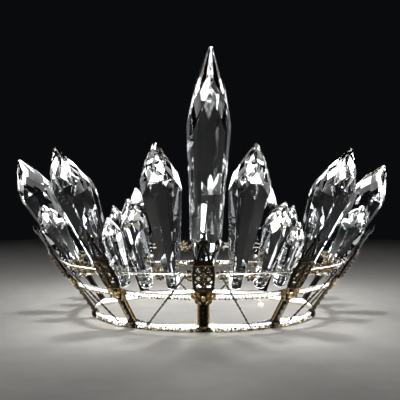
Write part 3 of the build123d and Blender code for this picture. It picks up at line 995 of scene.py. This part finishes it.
# %% Finish the wires and the drop
for node in ("outer_rail", "stringing_wire", "wire_ties", "drop_staple", "drop_eye_pin"):
    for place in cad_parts[node].material_slots:
        place.material = WIRE

drop_low, drop_high = (np.array(corner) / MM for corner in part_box("drop_bead"))
drop_centre, drop_half = (drop_low + drop_high) / 2, (drop_high - drop_low) / 2


SQUARENESS = 0.6                    # 1 would be a ball, and near 0 a cube


def pressed_bead(centre, half):
    """A squarish ball: powers of sine and cosine below one push a sphere towards a cube."""
    rise = np.linspace(-1.45, 1.45, 15)[:, None]
    turn = np.linspace(0, 2 * math.pi, 28, endpoint=False)[None]

    def squared(value):
        return np.sign(value) * np.abs(value) ** SQUARENESS

    x = squared(np.cos(rise)) * squared(np.cos(turn))
    y = squared(np.cos(rise)) * squared(np.sin(turn))
    z = squared(np.sin(rise)) + 0 * turn
    return skin(np.stack([x, y, z], -1) * half * [0.92, 0.92, 1.0] + centre)


drop = make_object("rose_drop", pressed_bead(drop_centre, drop_half), ROSE)
settle(drop, "drop", "pink_glass", "drop_bead")
print("drop bead at", drop_centre.round(1))

# %% [markdown]
# ## Floor, light and camera
# Clear glass shows only what surrounds it. A dark room leaves its inside dark, and soft lights at
# the sides and below draw bright edges and bright tips, because a pointed tip bends the view down
# towards whatever it stands on. So each far light is gridded, as a soft box in a studio is:
# it reaches the crown and a pool of the pale floor round it, and the rest of the floor falls away.

# %% Floor
def pale_card():
    """Plain pale card: matte, with a faint drift of 17 mm in its fibre."""
    material, spot = new_material("matte_pale_card")
    fibre = add(material, NOISE, values={"Scale": per_metre(16.667), "Detail": 3.0},
                links={"Vector": spot})
    tint = add(material, RAMP, links={"Fac": fibre.outputs["Fac"]},
               stops=[(0.3, "#C9C6C0"), (0.7, "#D2CFCA")])
    shader = add(material, SHADER, values={"Roughness": 0.8},
                 links={"Base Color": tint.outputs["Color"]})
    add(material, OUTPUT, links={"Surface": shader.outputs["BSDF"]})
    return material


FLOOR_RADIUS, FLOOR_DEPTH = 600.0, 4.0
FLOOR_DROP = 0.2                    # it lies just under the crown's lowest face
rim = np.linspace(0, 2 * math.pi, 96, endpoint=False)
disc = np.stack([FLOOR_RADIUS * np.cos(rim), FLOOR_RADIUS * np.sin(rim), 0 * rim - FLOOR_DROP], -1)
slab = skin(np.stack([disc - [0, 0, FLOOR_DEPTH], disc]))
floor = make_object("floor", slab, pale_card(), smooth_below=0)
print("floor radius, mm:", FLOOR_RADIUS)

# %% [markdown]
# ### Where the lights stand
# One box overhead makes the pool. Panels that face up, just above the floor, are what the prisms'
# points look down on, and they are hidden from the camera. Boxes low at the sides edge the
# flutes, boxes low in front make the bands shine, and two behind draw the rims.

# %% Lights and world
CROWN = (0.0, 0.0, 0.10)            # metres, as all places of lights are


def soft_box(name, place, size, power, aim=CROWN, beam=180.0):
    """A square light turned towards a point. Its grid lets light out over `beam` degrees."""
    data = bpy.data.lights.new(name, "AREA")
    data.size = size
    data.energy = power
    data.spread = math.radians(beam)
    lamp = bpy.data.objects.new(name, data)
    lamp.location = place
    lamp.rotation_euler = (Vector(aim) - Vector(place)).to_track_quat("-Z", "Y").to_euler()
    lamp.visible_camera = False
    bpy.context.scene.collection.objects.link(lamp)


soft_box("pool_box", (0, 0.05, 1.0), size=0.24, power=0.1, aim=(0, 0.02, 0), beam=10.0)
soft_box("inner_panel", (0, 0, 0.001), size=0.125, power=0.3, aim=(0, 0, 1))
soft_box("back_panel", (0, 0.22, 0.001), size=0.20, power=0.3, aim=(0, 0.22, 1))
for side, hand in (("left", -1), ("right", 1)):
    soft_box(side + "_panel", (0.20 * hand, 0.03, 0.001), size=0.16, power=0.24,
             aim=(0.20 * hand, 0.03, 1))
    soft_box(side + "_box", (0.92 * hand, 0.15, 0.12), size=0.36, power=0.6, beam=20.0)
    soft_box(side + "_front_box", (0.42 * hand, -0.86, 0.05), size=0.14, power=0.18,
             aim=(0, 0, 0.02), beam=14.0)
    soft_box(side + "_back_box", (0.62 * hand, 0.72, 0.40), size=0.35, power=0.2, beam=24.0)

world = bpy.data.worlds.new("dark_room")
bpy.context.scene.world = world
world.use_nodes = True
background = world.node_tree.nodes["Background"]
background.inputs["Color"].default_value = linear("#101114")
background.inputs["Strength"].default_value = 0.6
bpy.context.scene.view_settings.view_transform = "Standard"
print("lights:", len(bpy.data.lights))

# %% [markdown]
# ### The camera
# It stands in front, at two thirds of the crown's height, and looks slightly down, so the rings
# show as narrow ovals.

# %% Camera
SENSOR, FOCAL_SHARE = 36.0, 2.275   # millimetres, and focal length in sensor widths
DISTANCE, EYE_HEIGHT = 0.618, 0.105
LOOK_DOWN, LOOK_LEFT = math.radians(2.64), math.radians(0.22)
camera_data = bpy.data.cameras.new("camera")
camera_data.sensor_width = SENSOR
camera_data.lens = FOCAL_SHARE * SENSOR
camera = bpy.data.objects.new("camera", camera_data)
camera.location = (0, -DISTANCE, EYE_HEIGHT)
camera.rotation_euler = (math.pi / 2 - LOOK_DOWN, 0, LOOK_LEFT)
bpy.context.scene.collection.objects.link(camera)
bpy.context.scene.camera = camera
print("lens, mm:", round(camera_data.lens, 1))
